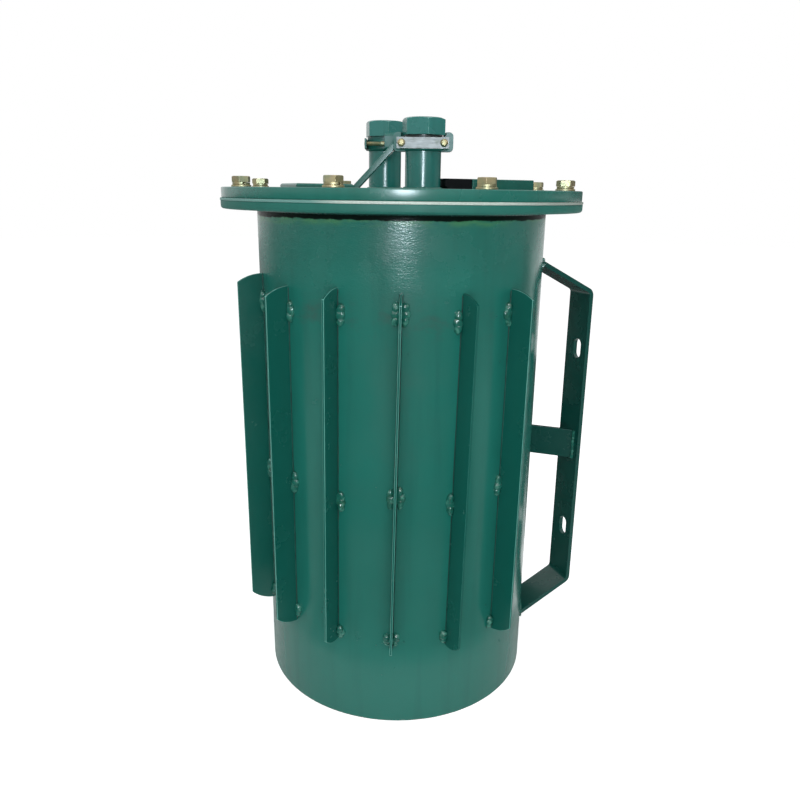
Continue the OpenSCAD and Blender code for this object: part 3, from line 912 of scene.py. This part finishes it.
def entries():
    """The clamps' strips and screws, the caps, collars, tubes and blanking discs, and the stay."""
    softened("clamp_strip_right", 0.35 * MM, ZINC_PLATE, "zinc")
    softened("clamp_strip_left", 0.35 * MM, ENAMEL_CLAMP, "enamel")
    clamp_screws("right", right_screw())
    clamp_screws("left", left_screw())
    for side in SIDES:
        softened("entry_cap_" + side, 0.7 * MM, enamel_cap(side), "enamel", ENAMEL_EDGE_HIGHLIGHT)
        softened("entry_collar_" + side, 0.6 * MM, enamel_collar(side), "enamel")
        NODES["entry_tube_" + side].material_slots[0].material = ENAMEL_TUBE
        NODES["entry_blank_" + side].material_slots[0].material = ZINC_PLATE
    softened("entry_stay", 0.6 * MM, ENAMEL_BODY, "enamel")


def fittings():
    """The lid's bar, block and plate, the fins, and the wall straps with their struts."""
    softened("lid_bar", 0.8 * MM, ENAMEL_BODY, "enamel")
    softened("lid_block", 0.6 * MM, BLACK_BLOCK, "block")
    softened("lid_plate", 0.4 * MM, ENAMEL_BODY, "enamel")
    for node in FINS:
        softened(node, 0.5 * MM, ENAMEL_FIN_SHADED, "enamel", ENAMEL_EDGE_HIGHLIGHT)
    for side in SIDES:
        softened("wall_strap_" + side, 0.7 * MM, ENAMEL_STRAP_SHADED, "strap")
        softened("wall_strut_" + side, 0.6 * MM, ENAMEL_STRAP_SHADED, "strap")


# ---------- welds and paint drops ----------

def fin_plane(node):
    """The fin's middle plane, as its normal and its distance from the origin."""
    mesh = NODES[node].data
    normal = max(mesh.polygons, key=lambda face: face.area).normal.copy()
    reach = [normal.dot(v.co) for v in mesh.vertices]
    return normal, (min(reach) + max(reach)) / 2


def root_angle(node, z):
    """The angle round the tank at which the fin's middle meets the wall at a height."""
    normal, distance = fin_plane(node)
    low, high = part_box(node)
    toward = math.atan2(low.y + high.y, low.x + high.x)
    flat = math.hypot(normal.x, normal.y)
    facing = math.atan2(normal.y, normal.x)
    swing = math.acos((distance - normal.z * z) / (flat * TANK_R))
    return min((facing + swing, facing - swing),
               key=lambda a: abs(math.remainder(a - toward, TAU)))


# each fin's stitch heights, first fin to last, in millimetres
STITCH_ROWS = ((461, 465, 462, 464, 463, 464, 462, 463, 467, 458, 462),
               (272, 268, 271, 269, 273, 270, 272, 267, 275, 266, 274),
               (108, 110, 107, 111, 109, 110, 114, 109, 107, 106, 107))


def fin_stitches():
    """Three stitch welds on each side of every fin's root, each a short stack of lumps."""
    dice = random.Random(12)
    points = []
    for row in STITCH_ROWS:
        short = 0.62 if row is STITCH_ROWS[-1] else 1.0
        for node, z in zip(FINS, row):
            for side in (-1, 1):
                here = (z + dice.uniform(-1, 1)) * MM
                for k, girth in enumerate((0.72, 1.0, 0.80)):
                    across = side * (FIN_T / 2 + dice.uniform(2.6, 4.2) * MM)
                    angle = root_angle(node, here) + across / TANK_R
                    out = TANK_R + dice.uniform(0.3, 1.3) * MM
                    rise = (k - 1) * dice.uniform(5.4, 6.8) * short * MM
                    size = Vector((dice.uniform(3.2, 4.3), dice.uniform(4.7, 6.2) * girth,
                                   dice.uniform(5.2, 7.0) * short)) * MM
                    points.append((polar(out, angle, here + rise),
                                   (dice.uniform(-0.3, 0.3), 0, angle), size))
    lumps("fin_stitch_welds", points, ENAMEL_WELD, facets=3, pitting=2.3 * MM, grain=230.0,
          seed=1.7)


def spatter():
    """Small drops of weld metal and paint on the tank, thickest near the stitches."""
    dice = random.Random(31)
    points = []
    for k in range(150):
        if k % 3:
            z = (dice.choice(STITCH_ROWS)[0] + dice.gauss(0, 22)) * MM
            centre = root_angle(dice.choice(FINS), z) + dice.gauss(0, 0.09)
        else:
            centre = dice.uniform(-math.pi, math.pi)
            z = dice.uniform(0.03, 0.54)
        radius = dice.uniform(0.35, 0.95) * MM * (1.5 if k % 11 == 0 else 1.0)
        points.append((polar(TANK_R, centre, z), (0, 0, centre),
                       Vector((radius * 0.8, radius, radius * dice.uniform(1.0, 1.8)))))
    lumps("tank_spatter", points, ENAMEL_BODY, facets=2, pitting=0.3 * MM, grain=400.0,
          seed=6.1)


def root_gaps():
    """The open gap along each fin's root: a thin dark line with rust in places."""
    paths = []
    out, beside, trim, steps = TANK_R + 0.1 * MM, 1.6 * MM, 2 * MM, 40
    for node in FINS:
        low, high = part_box(node)
        heights = [low.z + trim + (high.z - low.z - 2 * trim) * k / steps
                   for k in range(steps + 1)]
        for side in (-1, 1):
            paths.append(([polar(out, root_angle(node, z) + side * beside / TANK_R, z)
                           for z in heights], False))
    beads("fin_root_gaps", paths, ROOT_GAP, "enamel", width=1.1 * MM, ripple=24 * MM,
          unevenness=1.1, seed=3.0)


def circle_path(middle, radius, count=96):
    return [middle + polar(radius, TAU * k / count, 0) for k in range(count)], True


def strap_paths(side):
    """Where a strap's arms and a strut meet the tank, and where the strut meets the strap."""
    sign = 1 if side == "right" else -1
    low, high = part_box("wall_strap_" + side)
    near, far = sorted((abs(low.x), abs(high.x)))
    middle = (low.z + high.z) / 2
    paths = []
    for drop in (0.0, STRAP_T / math.cos(STRAP_SLOPE)):
        for mirror in (1, -1):
            line = []
            for k in range(13):
                x = near + (far - near) * k / 12
                y = math.sqrt(TANK_R ** 2 - x ** 2)
                z = high.z - drop - (y - low.y) * math.tan(STRAP_SLOPE)
                line.append(Vector((sign * x, y + 0.4 * MM, middle + mirror * (z - middle))))
            paths.append((line, False))
    low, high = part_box("wall_strut_" + side)
    near, far = sorted((abs(low.x), abs(high.x)))
    for x, y in ((near + 0.8 * MM, math.sqrt(TANK_R ** 2 - near ** 2)),
                 (far, high.y - 0.6 * MM)):
        paths.append(([Vector((sign * x, y, low.z + (high.z - low.z) * k / 8))
                       for k in range(9)], False))
    return paths


def seam_welds():
    """Beads under the flange, round the entries' tubes, and at the straps and struts."""
    # the bead under the flange takes the darker enamel, painted shade
    under = Vector((0, 0, FLANGE_LOW.z - 0.6 * MM))
    beads("flange_weld", [circle_path(under, TANK_R + 1.2 * MM, 240)], ENAMEL_FLANGE_SHADE, "enamel",
          width=3.4 * MM, ripple=5 * MM, unevenness=0.5, seed=2.0)
    rings = []
    for side in SIDES:
        low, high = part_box("entry_tube_" + side)
        rings.append(circle_path(entry_frame(side) @ Vector((0, 0, 0.5 * MM)),
                                 (high.x - low.x) / 2 + 0.6 * MM))
    beads("tube_welds", rings, ENAMEL_BODY, "enamel", width=3.6 * MM, ripple=3.5 * MM,
          unevenness=0.5, seed=5.0)
    beads("strap_welds", strap_paths("right") + strap_paths("left"), ENAMEL_WELD, "strap",
          width=4.2 * MM, ripple=4 * MM, unevenness=0.7, seed=9.0)


# ---------- studio ----------

def emptied(owner):
    """The wiring of a material or a world, with no nodes in it."""
    owner.use_nodes = True
    owner.node_tree.nodes.clear()
    return Wiring(owner.node_tree)


def stage():
    """A white floor, which glows only for the camera."""
    work = bmesh.new()
    bmesh.ops.create_circle(work, cap_ends=True, radius=9.0, segments=96)
    mesh = mesh_from(work, "floor")
    white = bpy.data.materials.new("floor_white")
    made = emptied(white)
    seen = made.node("ShaderNodeLightPath").outputs["Is Camera Ray"]
    matt = made.node("ShaderNodeBsdfDiffuse", {"Color": (0.88, 0.88, 0.88, 1)})
    glow = made.node("ShaderNodeEmission", {
        "Color": (1, 1, 1, 1), "Strength": made.times(seen, 0.75)})
    both = made.node("ShaderNodeAddShader", {0: matt.outputs[0], 1: glow.outputs[0]})
    made.node("ShaderNodeOutputMaterial", {"Surface": both.outputs[0]})
    mesh.materials.append(white)
    ground = placed("floor", mesh)
    ground.location.z = TANK_LOW.z - 0.2 * MM


def world():
    """Dim light for the surfaces, and a white surround for what is seen or mirrored."""
    sky = bpy.data.worlds.new("studio")
    made = emptied(sky)
    rays = made.node("ShaderNodeLightPath").outputs
    seen = made.maths("MAXIMUM", rays["Is Camera Ray"], rays["Is Glossy Ray"])
    seen = made.maths("MAXIMUM", seen, rays["Is Transmission Ray"])
    glow = made.node("ShaderNodeBackground", {
        "Color": (1, 1, 1, 1), "Strength": made.spread(seen, 0.0, 1.0, 0.36, 1.0)})
    made.node("ShaderNodeOutputWorld", {"Surface": glow.outputs[0]})
    bpy.context.scene.world = sky


CAMERA_AT = Vector((0.79162, -0.31443, 0.57934))


def camera_axes():
    """Forward, right and up of the view, from its heading, its pitch and its roll."""
    heading, pitch, roll = (math.radians(turn) for turn in (158.27, 16.035, 0.737))
    forward = polar(math.cos(pitch), heading, -math.sin(pitch))
    level = Vector((math.sin(heading), -math.cos(heading), 0))
    plumb = level.cross(forward)
    right = math.cos(roll) * level + math.sin(roll) * plumb
    return forward, right, right.cross(forward)


def camera():
    forward, right, up = camera_axes()
    lens = bpy.data.cameras.new("view")
    lens.sensor_width = 36
    lens.lens = 32.475
    lens.clip_start = 0.02
    viewer = placed("view", lens)
    turn = Matrix((right, up, -forward)).transposed().to_4x4()
    viewer.matrix_world = Matrix.Translation(CAMERA_AT) @ turn
    bpy.context.scene.camera = viewer


def lamp(name, place, target, size, power, lights=True, mirrored=True, tint=(1, 1, 1)):
    light = bpy.data.lights.new(name, "AREA")
    light.color = tint
    light.size = size
    light.energy = power
    made = placed(name, light)
    made.location = place
    made.rotation_euler = (Vector(target) - Vector(place)).to_track_quat("-Z", "Y").to_euler()
    made.visible_diffuse = lights
    made.visible_glossy = mirrored


def lamps():
    """Small lamps by the camera, and soft ones before, beside and above the part."""
    forward, right, up = camera_axes()
    middle = Vector((0, 0, 0.3))
    toward = Vector((-forward.x, -forward.y, 0)).normalized()
    right_way = Matrix.Rotation(math.radians(74), 3, "Z") @ toward
    left_way = Matrix.Rotation(math.radians(-65), 3, "Z") @ toward
    near = CAMERA_AT + right * 0.02 + Vector((0, 0, 0.075))
    lamp("near_panel", near, (0, 0, 0.38), size=0.085, power=0.6)
    lamp("near_glint", near, (0, 0, 0.38), size=0.085, power=3.1, lights=False,
         tint=(0.84, 1.0, 1.12))
    lamp("low_panel", middle + toward * 1.15 - Vector((0, 0, 0.17)), (0, 0, 0.12), size=0.9,
         power=5.2, mirrored=False)
    lamp("side_panel", middle + right_way * 2.6 - Vector((0, 0, 0.1)), middle, size=1.8,
         power=16, mirrored=False)
    lamp("left_panel", middle + left_way * 2.6 - Vector((0, 0, 0.1)), middle, size=1.8,
         power=8, mirrored=False)
    lamp("top_panel", (0.2, -0.2, 2.2), (0, 0, 0.5), size=1.2, power=9.5, mirrored=False)
    lamp("high_panel", middle + toward * 1.2 + Vector((0, 0, 1.6)), middle, size=0.29,
         power=5.5)


# cards round the part: from and to, in degrees from the viewer's side, then the two edges
# as (radius, height), then the brightness
ON_FLOOR = ((0.24, 0.001), (1.85, 0.001))
LOW_WALL = ((1.9, -0.2), (1.9, 0.50))
CARDS = ((-80, 80, (1.9, -0.2), (1.9, 0.61), 0.10),
         (-118, -80, *LOW_WALL, 0.08),
         (80, 118, *LOW_WALL, 0.08),
         (50, 118, (1.9, 0.61), (1.9, 1.3), 0.25),
         (-58, 58, (0.24, 0.001), (0.55, 0.001), 0.20),
         (-58, 58, (0.55, 0.001), (1.85, 0.001), 0.06),
         (58, 90, *ON_FLOOR, 0.36),
         (-90, -58, *ON_FLOOR, 0.36),
         (91, 136, *ON_FLOOR, 1.1),
         (-140, -91, *ON_FLOOR, 0.95),
         (138, 180, *ON_FLOOR, 0.06),
         (120, 180, *LOW_WALL, 0.95),
         (120, 180, (1.9, 0.50), (1.9, 1.3), 0.12),
         (-180, -142, *ON_FLOOR, 0.55))


def card_glow(name, level):
    glow = bpy.data.materials.new(name)
    made = emptied(glow)
    light = made.node("ShaderNodeEmission", {"Color": (level, level, level, 1)})
    made.node("ShaderNodeOutputMaterial", {"Surface": light.outputs[0]})
    return glow


def reflector_cards():
    """Dark and pale cards before and beside the part, which only mirrored rays see."""
    forward = camera_axes()[0]
    back = math.atan2(-forward.y, -forward.x)
    steps = 24
    for index, (first, last, near, far, level) in enumerate(CARDS):
        turns = [back + math.radians(first + (last - first) * k / steps)
                 for k in range(steps + 1)]
        work = bmesh.new()
        rows = [[work.verts.new(polar(r, a, z)) for a in turns] for r, z in (far, near)]
        skinned(work, rows, closed=False)
        name = "card_%d" % (index + 1)
        mesh = mesh_from(work, name)
        mesh.materials.append(card_glow(name, level))
        panel = placed(name, mesh)
        panel.visible_camera = False
        panel.visible_diffuse = False
        panel.visible_shadow = False


bpy.context.scene.view_settings.view_transform = "Standard"
camera()
world()
stage()
reflector_cards()
lamps()
round_pieces()
NODES["tank_bottom"].material_slots[0].material = ENAMEL_BODY
lid_bolts()
entries()
fittings()
fin_stitches()
root_gaps()
spatter()
seam_welds()
